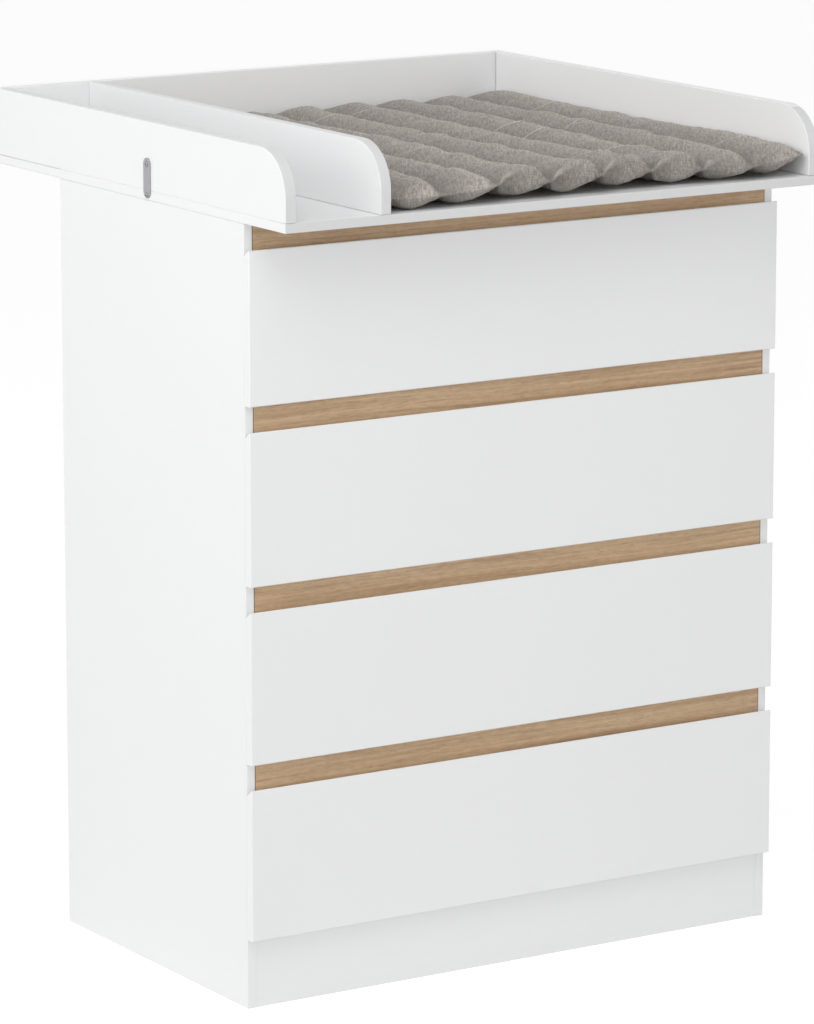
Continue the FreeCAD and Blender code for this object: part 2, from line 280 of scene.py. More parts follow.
def joint_shadow(board, places, low, high):
    """Painted shadow in the joints of a wall. Its foot is painted dark inside the tray and the bay,
    and outside only near the front and over the rear board. Where it meets the back wall a painted
    shadow darkens it too, and the right wall's joint is the widest."""
    x, y, z = places
    foot = fading(z - low[2], JOINT_REACH)
    if board == "wall_back":
        return foot * JOINT_DARK
    reach, dark = JOINT_REACH, CORNER_DARK
    if board == "wall_right":
        reach, dark = RIGHT_CORNER_REACH, JOINT_DARK
    below_edge = z.math("LESS_THAN", high[2] - UNDER_TOP_EDGE)
    corner = fading(high[1] - y, reach) * below_edge * dark
    if board == "divider":
        return (foot * JOINT_DARK).math("MAXIMUM", corner)
    near_ends = y.math("LESS_THAN", OUTSIDE_FRONT).math(
        "MAXIMUM", y.math("GREATER_THAN", OUTSIDE_REAR))
    outside = OUTSIDE_DARK + OUTSIDE_END_DARK * near_ends
    inner = x.math("GREATER_THAN" if board == "wall_left" else "LESS_THAN", (low[0] + high[0]) / 2)
    foot = foot * (outside + inner * (JOINT_DARK - outside))
    return foot.math("MAXIMUM", corner * inner)


# Boards whose edge bands get painted shade, and how grey that painted shade is.
BAND_SHADED = ("wall_left", "divider", "wall_right", "changing_board")
BAND_SHADE_LEVEL = 0.80


def band_shade(board, wire):
    """Where the changing top's edge bands get painted shade, greyer than its faces: the upper and
    front edges of the left wall and the divider, the front of the right wall, and the front of the
    base board."""
    facing = [part.math("ABSOLUTE") for part in parts(wire.add("TexCoord", out="Normal"))]
    if board in ("wall_left", "divider"):
        return facing[0].math("LESS_THAN", 0.7)
    if board == "wall_right":
        return facing[0].math("LESS_THAN", 0.7) * facing[2].math("LESS_THAN", 0.95)
    return facing[1].math("GREATER_THAN", 0.7)


def melamine(board):
    """Satin white melamine: a faint cloudy tone, an orange-peel skin and the glue line at the rim.
    The walls have painted shadow in their joints, the changing top's edge bands get painted shade,
    and the side panels have a painted shadow at the head, where the base board lies on them."""
    material, wire = new_finish("melamine_" + board)
    place = object_place(wire)
    places = parts(place)
    low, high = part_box(board)
    cloud = noise(place, 3.0, 3.0)
    rubbed = noise(place, 14.0, 4.0, 0.6)
    skin = noise(place, 620.0, 2.0, 0.6)
    line = edge_line(places, low, high)
    tone = mixed(cloud, rgb(WHITE, 0.992), rgb(WHITE, 1.006))
    tone = mixed(line * 0.10, tone, GLUE_BROWN)
    # Painted shade greys the chosen edges of the changing top.
    if board in BAND_SHADED:
        tone = mixed(band_shade(board, wire), tone, rgb(WHITE, BAND_SHADE_LEVEL))
    # Painted shadow in the walls' joints.
    if board in WALLS:
        tone = mixed(joint_shadow(board, places, low, high), tone, SHADOW_GREY)
    # Painted shadow at the side panel's head, where the base board lies on it.
    if board.startswith("side_panel"):
        head = fading(high[2] - places[2], JOINT_REACH)
        tone = mixed(head * PANEL_HEAD_SHADOW, tone, SHADOW_GREY)
    return close_finish(material, principled(
        wire, Base_Color=tone, Roughness=GLOSS - 0.04 + rubbed * 0.08 + line * 0.2,
        Normal=relief(skin, 0.00002), IOR=1.5))


def paint_node(node, material):
    """Gives a CAD node its finish."""
    mesh = frame["nodes"][node].data
    mesh.materials.clear()
    mesh.materials.append(material)


slot_of = {row["node"]: row["material_slot"] for row in frame["record"]["subparts"]}
nodes_in = {}
for node, slot in slot_of.items():
    nodes_in.setdefault(slot, []).append(node)
for node in nodes_in["white_board"]:
    paint_node(node, melamine(node))

# ---------------------------------------------------------------------------------------------
# Drawer boxes. Their sides and backs are chipboard in a matt white foil with a fine pressed
# texture, grooved for the bottom. They are dowelled together and hang on the runners.
# ---------------------------------------------------------------------------------------------
FOIL_DARK, FOIL_PALE = (0.75, 0.75, 0.745, 1), (0.79, 0.79, 0.785, 1)
FOIL_GLUE = (0.25, 0.23, 0.2, 1)
for node in nodes_in["drawer_board"]:
    foil, wire = new_finish("foil_" + node)
    place = object_place(wire)
    grit = noise(place, 900.0, 3.0, 0.7)
    tone = mixed(noise(place, 6.0, 3.0), FOIL_DARK, FOIL_PALE)
    line = edge_line(parts(place), *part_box(node))
    tone = mixed(line * 0.25, tone, FOIL_GLUE)
    paint_node(node, close_finish(foil, principled(
        wire, Base_Color=tone, Roughness=0.52 + grit * 0.1, Normal=relief(grit, 0.00004))))

# ---------------------------------------------------------------------------------------------
# Back panel and drawer bottoms. Thin fibreboard, lacquered white on the face. The lacquer leaves
# the fibres just visible, as a mottle, and the panels slide into grooves.
# ---------------------------------------------------------------------------------------------
LACQUER_DARK, LACQUER_PALE = (0.70, 0.695, 0.68, 1), (0.77, 0.768, 0.755, 1)
BARE_FIBRE = (0.45, 0.40, 0.33, 1)
fibre, wire = new_finish("lacquered_fibreboard")
place = object_place(wire)
fleck = noise(stretched(place, (160, 160, 160)), 1.0, 6.0, 0.7)
mottle = noise(place, 25.0, 5.0, 0.65)
tone = mixed(mottle, LACQUER_DARK, LACQUER_PALE)
tone = mixed(fleck.math("GREATER_THAN", 0.66) * 0.12, tone, BARE_FIBRE)
close_finish(fibre, principled(wire, Base_Color=tone, Roughness=0.45 + mottle * 0.2,
                               Normal=relief(fleck, 0.00005)))
for node in nodes_in["back_board"]:
    paint_node(node, fibre)

# ---------------------------------------------------------------------------------------------
# Oak grip strips. Rails in an oak decor between the side panels, seen in the gap above each front.
# The grain runs along the rail: broad warm bands, fine dark growth lines and short pores.
# ---------------------------------------------------------------------------------------------
OAK_STOPS = ((0.05, (0.36, 0.228, 0.126)), (0.38, (0.470, 0.312, 0.182)),
             (0.62, (0.555, 0.388, 0.236)), (0.95, (0.655, 0.480, 0.310)))
OAK_DRIFT = (0.58, 0.400, 0.235, 1)
OAK_PORE = (0.27, 0.165, 0.09, 1)
OAK_END_SHADOW = (0.10, 0.075, 0.05, 1)
END_SHADOW_WIDTH = 0.0012


def ranged(value, low, high, to_low, to_high):
    """Value carried from the range low to high onto the range to_low to to_high, and kept in it."""
    return value.add("MapRange", values={0: value, 1: low, 2: high, 3: to_low, 4: to_high})


def ramped(value, stops):
    """The colour that the stops give at value."""
    return value.add("ValToRGB", {"stops": stops}, {0: value})


oak, wire = new_finish("oak_decor")
place = object_place(wire)
swirl = noise(stretched(place, (3.2, 18, 18)), 1.0, 2.0, 0.5)
swayed = place.add("VectorMath", {"operation": "ADD"}, {0: place, 1: place.add(
    "CombineXYZ", values={2: swirl * 0.016})})
drift = noise(stretched(place, (5.0, 14, 14)), 1.0, 3.0, 0.6)
bands = noise(stretched(swayed, (2.6, 130, 130)), 1.0, 4.0, 0.6, 0.4)
lines = noise(stretched(swayed, (11.0, 700, 700)), 1.0, 5.0, 0.7, 0.3)
pores = noise(stretched(swayed, (110.0, 1300, 1300)), 1.0, 2.0, 0.5)
flecks = noise(stretched(swayed, (60.0, 260, 260)), 1.0, 3.0, 0.6)
grain = (bands * 0.5 + lines * 0.3 + flecks * 0.2 - 0.5) * 3.6 + 0.5
tone = mixed(ranged(drift, 0.3, 0.7, 0.0, 0.45), ramped(grain, OAK_STOPS), OAK_DRIFT)
pore = pores.math("GREATER_THAN", 0.62)
tone = mixed(pore * 0.32, tone, OAK_PORE)
# A painted shadow darkens the last 1.2 mm at each end of a strip, where it meets the side panel.
strip_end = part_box("grip_strip_1")[1].x - END_SHADOW_WIDTH
end_shadow = parts(place)[0].math("ABSOLUTE").math("GREATER_THAN", strip_end)
tone = mixed(end_shadow * 0.6, tone, OAK_END_SHADOW)
close_finish(oak, principled(wire, Base_Color=tone, Roughness=0.50 - lines * 0.12 + pore * 0.2,
                             Normal=relief(grain - pore * 0.8, 0.00008)))
for node in nodes_in["oak_strip"]:
    paint_node(node, oak)

# ---------------------------------------------------------------------------------------------
# Metal. The runners are rolled steel, zinc plated. The plates and screws are nickel plated with a
# satin brush along their length, and the cams are cast zinc with a matt grain.
# ---------------------------------------------------------------------------------------------
CROSS_HALF, CROSS_REACH, CROSS_DARK = 0.00045, 0.0019, 0.85
RING_RADIUS, RING_WIDTH, RING_DARK = 0.0038, 0.0007, 0.6
HEAD_RADIUS = 0.0034
SHADOW_BLACK = (0.03, 0.03, 0.03, 1)


def metal(name, shade, streak, rough, depth):
    """Plated metal: streak is how the brush lines are stretched along x, y and z."""
    material, wire = new_finish(name)
    place = object_place(wire)
    brush = noise(stretched(place, streak), 1.0, 4.0, 0.6)
    stain = noise(place, 30.0, 4.0, 0.6)
    tone = mixed(stain, rgb(shade, 0.86), rgb(shade, 1.08))
    return close_finish(material, principled(
        wire, Base_Color=tone, Metallic=1.0, Roughness=rough - 0.06 + brush * 0.12 + stain * 0.06,
        Normal=relief(brush, depth)))


def screw_shadows(material, centre_y, heights):
    """Paints shade on what lies on two screws at centre_y and these heights: painted shade in the
    cross of each head, and a painted shadow ring round each head."""
    tree = material.node_tree
    shader = next(node for node in tree.nodes if node.type == "BSDF_PRINCIPLED")
    _, y, z = parts(object_place(Wire(tree)))
    across = (y - centre_y).math("ABSOLUTE")
    above = (z - heights[0]).math("ABSOLUTE").math("MINIMUM", (z - heights[1]).math("ABSOLUTE"))
    arm = across.math("MINIMUM", above).math("LESS_THAN", CROSS_HALF)
    cross = arm * across.math("MAXIMUM", above).math("LESS_THAN", CROSS_REACH)
    radius = (across * across + above * above).math("SQRT")
    ring = fading((radius - RING_RADIUS).math("ABSOLUTE"), RING_WIDTH)
    dark = (cross * CROSS_DARK).math("MAXIMUM", ring * RING_DARK)
    plating = Wire(tree, shader.inputs["Base Color"].links[0].from_socket)
    tree.links.new(mixed(dark, plating, SHADOW_BLACK).socket, shader.inputs["Base Color"])


for slot, name, shade, streak, rough, depth in (
        ("runner_steel", "zinc_plated_steel", (0.60, 0.62, 0.64), (900, 14, 900), 0.34, 0.00003),
        ("plate_steel", "nickel_plate", (0.44, 0.44, 0.45), (900, 900, 30), 0.30, 0.00003),
        ("screw_steel", "nickel_screw", (0.40, 0.40, 0.41), (700, 700, 700), 0.32, 0.00002),
        ("cam_zinc", "cast_zinc", (0.52, 0.53, 0.54), (500, 500, 500), 0.46, 0.00006)):
    material = metal(name, shade, streak, rough, depth)
    for node in nodes_in[slot]:
        paint_node(node, material)
    # Painted shade in the screw heads' crosses and a painted shadow ring round each head.
    if slot in ("plate_steel", "screw_steel"):
        low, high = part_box("plate_screws")
        screw_shadows(material, (low.y + high.y) / 2, (low.z + HEAD_RADIUS, high.z - HEAD_RADIUS))

# ---------------------------------------------------------------------------------------------
# Changing mat. Two layers of taupe crinkle cotton, cut wider than the mat, sewn together in eight
# channels and filled with loose fibre. The filling swells each channel to a roll whose ends pinch
# in between the seams. It lies loose on the board, and its right edge climbs the wall a little.
# ---------------------------------------------------------------------------------------------
mat_low, mat_high = (np.array(corner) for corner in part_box("changing_mat"))
CHANNELS, CELLS = 8, 12
SEAM_PLANE, SEAM_HALF = 1.0298, 0.0005
FULLNESS, LENGTH_SPARE = 1.17, 1.018
ROLL_HEIGHT = 0.016
SIDE_INSET = 0.001
BOARD_TOP = mat_low[2]
SEAM_LIFT = np.array((0.0, 0.0, 0.0, 0.0, 0.0, 0.0, 0.5, 2.0, 6.5)) / 1000
FRONT_LIFT = np.array((0.0, -3.0, 6.0, 4.5, 5.5, 3.5, 2.0, 0.5, 9.0)) / 1000
FRONT_REACH = np.array((0.0, 0.0, -3.0, -1.0, -3.0, 4.0, 1.0, -2.0, -2.0)) / 1000
FRONT_RUN = 0.075
# Per channel: how far its front end tapers, how far its front seam sags, and whether that seam
# stays flat (1) or is pushed up into a blunt end (0).
FRONT_TAPER = np.array((52, 50, 22, 20, 22, 24, 44, 50)) / 1000
FRONT_SAG = np.array((2.0, 2.5, 0, 0, 0, 0, 2.0, 2.5)) / 1000
FLAT_SEAM = np.array((1, 1, 0, 0, 0, 0, 1, 1))
REAR_TAPER = 0.030
TUCK, TUCK_REACH = 0.010, 0.05
FINE_ROW, COARSE_ROW, FINE_REACH = 0.0038, 0.0068, 0.08
mat_length = mat_high[1] - mat_low[1]
mat_width = mat_high[0] - mat_low[0]
pitch = mat_width / CHANNELS


def row_places(length, fine, coarse, blend):
    """Row distances from the front, fine near both ends and coarse between: the step is blended
    over the length blend and the whole is scaled to end at length."""
    steps = [0.0]
    while steps[-1] < length:
        near = min(steps[-1], length - steps[-1])
        steps.append(steps[-1] + fine + (coarse - fine) * min(1.0, near / blend))
    steps = np.array(steps)
    return steps * length / steps[-1]


def at_seams(values, across):
    """Values given at the nine seams, read between them on straight lines."""
    return np.interp(across, np.arange(CHANNELS + 1), values)


def bell(off):
    """1 at 0, falling on both sides as exp(-off squared)."""
    return np.exp(-(off ** 2))


rows = row_places(mat_length, FINE_ROW, COARSE_ROW, FINE_REACH)
across, along = np.meshgrid(np.linspace(0, CHANNELS, CHANNELS * CELLS + 1), rows)
to_front = bell(along / FRONT_RUN)
sway = (0.0018 * np.sin(6.0 * along / mat_length * math.pi + across * 2.1)
        + 0.0012 * np.sin(13.0 * along / mat_length + across * 5.3))
sway = sway * np.sin(np.pi * across / CHANNELS) ** 0.5 * np.sin(np.pi * along / mat_length)
lift = at_seams(SEAM_LIFT, across) * (1 - to_front) + at_seams(FRONT_LIFT, across) * to_front
lift = lift + 0.0014 * np.sin(7.0 * along / mat_length + across * 1.7)
inside = np.abs(across - np.round(across)) * 2
bulge = 1 - (1 - inside) ** 2
end_distance = np.minimum(along, mat_length - along)
channel_of = np.minimum(across.astype(int), CHANNELS - 1)
in_front = along < mat_length / 2
taper = np.where(in_front, FRONT_TAPER[channel_of], REAR_TAPER)
closing = np.sqrt(1 - (1 - np.clip(end_distance / taper, 0, 1)) ** 2)
tuck = TUCK * bulge * np.clip(1 - end_distance / TUCK_REACH, 0, 1)
tuck = np.where(in_front, tuck * (1 - 0.8 * FLAT_SEAM[channel_of]), -tuck)
sheet_x = mat_low[0] + SIDE_INSET + across * (pitch - 2 * SIDE_INSET / CHANNELS) + sway
sheet_y = mat_low[1] + along + at_seams(FRONT_REACH, across) * to_front + tuck
sheet_z = SEAM_PLANE + lift - FRONT_SAG[channel_of] * bulge * to_front
rise = ROLL_HEIGHT * bulge * closing + SEAM_HALF * (end_distance > 1e-6)
uneven = (1 + 0.022 * np.sin(9.0 * along + across * 2.7)
          + 0.014 * np.sin(23.0 * along - across * 4.1))
full = np.where(in_front & (FLAT_SEAM[channel_of] == 1),
                0.05 + 0.95 * closing, 0.45 + 0.55 * closing)
full = 1 + (FULLNESS - 1) * full
widths = pitch / CELLS * (full * uneven)[:, 1:]
cut_x = np.concatenate([np.zeros((len(rows), 1)), np.cumsum(widths, axis=1)], axis=1)
cut_y = along * LENGTH_SPARE


def two_sheets(top, bottom):
    """Joins a top and a bottom grid of points into one closed skin. The bottom's rim is the top's,
    so only its inner points are new. Returns points, faces, and the point numbers of both grids."""
    count_rows, count_columns = top.shape[:2]
    top_index = np.arange(count_rows * count_columns).reshape(count_rows, count_columns)
    bottom_index = top_index.copy()
    inner = (slice(1, -1), slice(1, -1))
    new = np.arange(top_index[inner].size) + top_index.size
    bottom_index[inner] = new.reshape(top_index[inner].shape)
    points = np.concatenate([part.reshape(-1, top.shape[2]) for part in (top, bottom[inner])])

    def quads(index, upward):
        corners = (index[:-1, :-1], index[:-1, 1:], index[1:, 1:], index[1:, :-1])
        return np.stack(corners if upward else corners[::-1], axis=-1).reshape(-1, 4)

    faces = np.concatenate([quads(top_index, True), quads(bottom_index, False)])
    return points, faces, top_index, bottom_index


def grid(*parts):
    """Several grids of numbers as one grid of points."""
    return np.stack(parts, axis=-1)


start, mat_faces, top_index, bottom_index = two_sheets(grid(sheet_x, sheet_y, sheet_z + rise),
                                                       grid(sheet_x, sheet_y, sheet_z - rise))
cut = two_sheets(grid(cut_x, cut_y, 0 * cut_x), grid(cut_x, cut_y, 0 * cut_x))[0]


def new_piece(name, points, faces, material):
    """A mesh object with smooth faces, from arrays of points and faces."""
    mesh = bpy.data.meshes.new(name)
    mesh.from_pydata(np.asarray(points, float).tolist(), [], faces)
    mesh.polygons.foreach_set("use_smooth", np.ones(len(mesh.polygons), bool))
    mesh.materials.append(material)
    mesh.update()
    piece = bpy.data.objects.new(name, mesh)
    scene.collection.objects.link(piece)
    return piece


def corner_points(mesh):
    """The point number of each face corner."""
    corner = np.empty(len(mesh.loops), np.int32)
    mesh.loops.foreach_get("vertex_index", corner)
    return corner


def write_map(mesh, name, places):
    """Writes two numbers for each point as a UV map."""
    layer = mesh.uv_layers.new(name=name)
    layer.data.foreach_set("uv", places[corner_points(mesh)].astype(np.float32).ravel())


def read_map(mesh, name):
    """Reads a UV map back, as two numbers for each point."""
    values = np.empty(len(mesh.loops) * 2, np.float32)
    mesh.uv_layers[name].data.foreach_get("uv", values)
    places = np.zeros((len(mesh.vertices), 2))
    places[corner_points(mesh)] = values.reshape(-1, 2)
    return places


def cloth_lengths(points, index):
    """Lengths measured over the cloth along each column of a sheet: from the middle of the mat, and
    from the nearer end."""
    step = np.linalg.norm(np.diff(points[index], axis=0), axis=2)
    run = np.concatenate([np.zeros((1, step.shape[1])), np.cumsum(step, axis=0)])
    return run - run[len(rows) // 2] + rows[len(rows) // 2], np.minimum(run, run[-1] - run)


def crease_rim(mesh, rim):
    """Keeps the edges between rim points sharp when the mesh is subdivided."""
    ends = np.empty(len(mesh.edges) * 2, np.int32)
    mesh.edges.foreach_get("vertices", ends)
    on_rim = np.zeros(len(mesh.vertices), bool)
    on_rim[rim] = True
    sharp = on_rim[ends.reshape(-1, 2)].all(axis=1)
    layer = mesh.attributes.new("crease_edge", "FLOAT", "EDGE")
    layer.data.foreach_set("value", sharp.astype(np.float32))


SIM_FRAMES = 26


def inflate(piece, sewn, flat):
    """Swells the cover from inside: cloth whose rest lengths are the flat cut, held at the sewn
    points, under air pressure and without weight. Returns where the points come to rest."""
    piece.shape_key_add(name="start")
    key = piece.shape_key_add(name="cut")
    key.data.foreach_set("co", flat.astype(np.float32).ravel())
    key.value = 0.0
    group = piece.vertex_groups.new(name="sewn")
    group.add([int(i) for i in sewn], 1.0, "REPLACE")
    cloth = piece.modifiers.new("cover", "CLOTH")
    settings = cloth.settings
    settings.quality = 7
    settings.mass = 0.12
    settings.air_damping = 4
    settings.tension_stiffness = 28
    settings.compression_stiffness = 28
    settings.shear_stiffness = 10
    settings.bending_stiffness = 0.25
    settings.vertex_group_mass = "sewn"
    settings.rest_shape_key = key
    settings.use_pressure = True
    settings.uniform_pressure_force = 4
    settings.effector_weights.gravity = 0
    cloth.point_cache.frame_start = 1
    cloth.point_cache.frame_end = SIM_FRAMES
    for number in range(1, SIM_FRAMES + 1):
        scene.frame_set(number)
    points = points_of(as_modified(piece).to_mesh())
    piece.modifiers.remove(cloth)
    piece.shape_key_clear()
    piece.vertex_groups.clear()
    scene.frame_set(1)
    return points


def as_modified(piece):
    """The piece with its modifiers applied."""
    return piece.evaluated_get(bpy.context.evaluated_depsgraph_get())


def points_of(mesh):
    """The points of a mesh as an array."""
    points = np.empty(len(mesh.vertices) * 3, np.float32)
    mesh.vertices.foreach_get("co", points)
    return points.reshape(-1, 3).astype(float)


def subdivided(piece):
    """Puts one level of subdivision into the piece's mesh."""
    smooth = piece.modifiers.new("smooth", "SUBSURF")
    smooth.levels = smooth.render_levels = 1
    bpy.context.view_layer.update()
    finer = bpy.data.meshes.new_from_object(as_modified(piece))
    piece.modifiers.remove(smooth)
    piece.data = finer


def ripple(where, count, longest, shortest, seed):
    """Smooth unevenness of about -1 to 1 over the cloth: a sum of sine waves whose directions,
    lengths and phases are drawn from the seed."""
    draw = np.random.default_rng(seed)
    turn = draw.uniform(0, math.pi, count)
    length = np.exp(draw.uniform(math.log(shortest), math.log(longest), count))
    phase = draw.uniform(0, 2 * math.pi, count)
    track = (np.outer(where[:, 0], np.cos(turn) / length)
             + np.outer(where[:, 1], np.sin(turn) / length))
    return np.sin(2 * math.pi * track + phase).sum(axis=1) / math.sqrt(count * 1.2)


# Folds that cross one roll: the channel, how far along, the slant over the roll, its bow, and
# how high it stands, as a share of FOLD_HEIGHT.
FOLDS = ((5, 0.412, 0.004, -0.012, 1.0), (5, 0.338, 0.030, 0.006, 1.0),
         (3, 0.619, 0.004, -0.008, 0.8), (4, 0.626, -0.020, 0.004, 0.7),
         (6, 0.366, 0.034, 0.004, 0.8), (5, 0.156, -0.026, -0.014, 1.0),
         (7, 0.100, -0.040, 0.010, 0.6), (4, 0.105, -0.030, -0.010, 0.7),
         (1, 0.430, 0.020, 0.010, 0.8), (2, 0.260, -0.024, -0.008, 0.7),
         (0, 0.250, 0.010, 0.012, 0.6), (7, 0.560, 0.016, -0.010, 0.6))
FOLD_HEIGHT, FOLD_HALF = 0.0015, 0.0028


def fold_path(fold, across):
    """How far along the fold lies at that place across, which runs from 0 to 1 over its roll."""
    return fold[1] + fold[2] * (across - 0.5) + fold[3] * (1 - 4 * (across - 0.5) * (across - 0.5))


# Folds that rise from the seam's end at the front: the channel, the turn from the rim in radians,
# and the height in millimetres.
HIPS = ((0, 1.2, 1.2), (1, 1.0, 1.0), (2, 0.92, 3.8), (3, 0.84, 4.2),
        (4, 1.00, 3.6), (5, 0.80, 4.2), (6, 0.98, 2.8), (7, 1.1, 1.2))
HIP_HALF, HIP_REACH = 0.20, 0.014
LUMP_HEIGHT, CRINKLE_HEIGHT = 0.0017, 0.00034
PUCKER_HEIGHT, PUCKER_PITCH, PUCKER_REACH = 0.0011, 0.0135, 0.012
GATHER_HEIGHT, GATHER_AT, GATHER_REACH = 0.0013, 0.013, 0.011
HELD_REACH = 0.004


def roll_places(where):
    """Which roll a place over the cloth lies on, and how far across that roll, from 0 to 1."""
    at = where[:, 0] / pitch
    roll = np.clip(np.floor(at), 0, CHANNELS - 1)
    return roll, at - roll


def gathered(points, normals, where, from_rim):
    """Adds what the thread and the loose filling do to the cloth, along its normals: lumps and
    crinkles from sums of waves, puckers that run off the seams and die out, gathers that fan out
    from the ends of the seams, and the folds."""
    roll, within = roll_places(where)
    from_seam = np.minimum(within, 1 - within) * pitch
    held = (1 - bell(from_seam / HELD_REACH)) * (1 - bell(from_rim / HELD_REACH))
    lumps = LUMP_HEIGHT * ripple(where, 18, 0.120, 0.045, 3) * np.sin(np.pi * within)
    crinkle = CRINKLE_HEIGHT * ripple(where, 48, 0.020, 0.009, 5)
    wave = where[:, 1] + 0.004 * ripple(where, 12, 0.060, 0.030, 8)
    share = 0.5 + 0.5 * ripple(where, 12, 0.140, 0.050, 13)
    pucker = np.sin(2 * math.pi * wave / PUCKER_PITCH + roll * 2.3)
    pucker = PUCKER_HEIGHT * np.clip(share, 0, 1.6) * pucker * np.exp(-from_seam / PUCKER_REACH)
    reach, turn = np.hypot(from_seam, from_rim), np.arctan2(from_rim, from_seam)
    fan = bell((reach - GATHER_AT) / GATHER_REACH)
    gathers = GATHER_HEIGHT * np.sin(turn * 15 + roll * 1.9) * fan
    total = (lumps + crinkle + pucker + gathers) * held
    for channel, angle, height in HIPS:
        mine = (roll == channel) & (within < 0.5) & (where[:, 1] < mat_length / 2)
        off = (turn - angle) / HIP_HALF
        ridge = bell(off) - 0.45 * bell((off - 2.2) / 1.3) - 0.35 * bell((off + 2.2) / 1.3)
        total = total + mine * height / 1000 * ridge * bell((reach - 0.018) / HIP_REACH)
    dies_out = np.sin(np.pi * within) ** 0.7
    for fold in FOLDS:
        gap = where[:, 1] - fold_path(fold, within)
        ridge = bell(gap / FOLD_HALF) - 0.55 * bell((np.abs(gap) - 0.0070) / 0.004)
        total = total + (roll == fold[0]) * fold[4] * FOLD_HEIGHT * ridge * dies_out
    return points + normals * total[:, None]


LEAN, BLUNT = 1.05, 1.5
SWELL = np.array((1.13, 1.13, 1.13, 1.15, 1.15, 1.15, 1.13, 1.0))


def leaned(sheet):
    """Leans each roll of the top sheet over its right seam, as the rolls of the loose mat do. With
    h the height over the line between the seams, times the roll's SWELL, a point moves right by
    LEAN times h, and to the right of the crest 1 - h / crest is raised to the power BLUNT, which
    steepens that flank."""
    column = np.arange(sheet.shape[1])
    left = channel_of[0] * CELLS
    within = ((column - left) / CELLS)[None, :]
    line = sheet[:, left, 2] * (1 - within) + sheet[:, left + CELLS, 2] * within
    high = np.maximum(sheet[..., 2] - line, 0) * SWELL[channel_of[0]]
    crest = high[:, :-1].reshape(len(sheet), CHANNELS, CELLS).max(axis=2)[:, channel_of[0]]
    gap = np.clip(1 - high / np.maximum(crest, 1e-6), 0, 1)
    fuller = np.where(within > 0.5, crest * (1 - gap ** BLUNT), high)
    sheet = sheet.copy()
    sheet[..., 2] = line + fuller
    sheet[..., 0] += LEAN * high
    return sheet


def end_light_and_shade(where, from_rim, facing):
    """Painted light and shade for the rolls' front ends, 0 to 1 each. Painted highlight: on the
    fold that rises from the seam's end, a bell curve of the turn about that end. Painted shade: on
    the drawn-in cloth beyond that fold, and on the underside near the rim."""
    roll, within = roll_places(where)
    from_seam = within * pitch
    in_front = (where[:, 1] < mat_length / 2) * 1.0
    reach, turn = np.hypot(from_seam, from_rim), np.arctan2(from_rim, from_seam)
    light, dark = np.zeros((2, len(where)))
    for channel, angle, height in HIPS:
        mine = in_front * (roll == channel) * (facing[:, 2] > -0.25) * min(1, height / 3)
        light = light + mine * bell((turn - angle) / 0.16) * bell((reach - 0.017) / HIP_REACH)
        beyond = np.clip((angle - 0.12 - turn) / 0.15, 0, 1) * np.clip(1.5 - from_rim / 0.024, 0, 1)
        dark = np.maximum(dark, mine * beyond * (height > 2))
    under = in_front * np.clip(-facing[:, 2] * 4, 0, 1) * np.clip(1.6 - from_rim / 0.05, 0, 1)
    return np.stack([light, np.maximum(dark, under * 0.8)], axis=1)


RIB_PITCH = 0.0046
WEAVE_TURN = math.radians(32)
COTTON_STOPS = ((0.18, (0.252, 0.229, 0.209)), (0.50, (0.415, 0.378, 0.344)),
                (0.85, (0.615, 0.569, 0.523)))
# The shades of the dark and of the pale slubs: in the cotton's clouds, in the painted shade on the
# rolls' flanks beside the seams, in the painted shade at their drawn-in ends and underside, and in
# the painted highlight on the folds that rise from the seams' ends.
CLOUD_PAIR = ((0.246, 0.222, 0.200, 1), (0.492, 0.451, 0.405, 1))
FLANK_SHADE_PAIR = ((0.117, 0.105, 0.095, 1), (0.253, 0.229, 0.206, 1))
END_SHADE_PAIR = ((0.10, 0.091, 0.082, 1), (0.26, 0.236, 0.214, 1))
HIP_HIGHLIGHT_PAIR = ((0.46, 0.425, 0.388, 1), (0.64, 0.60, 0.557, 1))
FOLD_HIGHLIGHT = (0.76, 0.73, 0.69, 1)
cotton, wire = new_finish("crinkle_cotton")
weave = wire.add("UVMap", {"uv_map": "cloth"})
cloth_u, cloth_v, _ = parts(weave)
wander = noise(stretched(weave, (22, 60, 1)), 1.0, 2.0, 0.5)
ribs = (cloth_v * (2 * math.pi / RIB_PITCH) + wander * 8.0).math("SINE") * 0.5 + 0.5
place = object_place(wire)
slubs = stretched(stretched(place, (1, 1, 1), (0, 0, WEAVE_TURN)), (460, 80, 160))
dots = noise(slubs, 1.0, 1.5, 0.5)
grit = noise(stretched(place, (900, 700, 900)), 1.0, 1.0, 0.6)
cloud = noise(weave, 22.0, 3.0, 0.6)
height = ribs * 0.12 + dots * 1.10 + grit * 0.80 - 0.51
tone = mixed(ranged(cloud, 0.35, 0.65, 0.0, 0.22), ramped(height, COTTON_STOPS),
             mixed(height, *CLOUD_PAIR))
channel = cloth_u / pitch
roll = channel.math("FLOOR")
within = channel - roll
# A painted highlight along the ridge of each fold that crosses a roll.
fold_highlight = None
for fold in FOLDS:
    mine = (roll - fold[0]).math("ABSOLUTE").math("LESS_THAN", 0.5)
    gap = (cloth_v - fold_path(fold, within)).math("ABSOLUTE")
    mark = fading(gap, 0.0024) * mine * (within * 3.1416).math("SINE") * fold[4]
    fold_highlight = mark if fold_highlight is None else fold_highlight.math("MAXIMUM", mark)
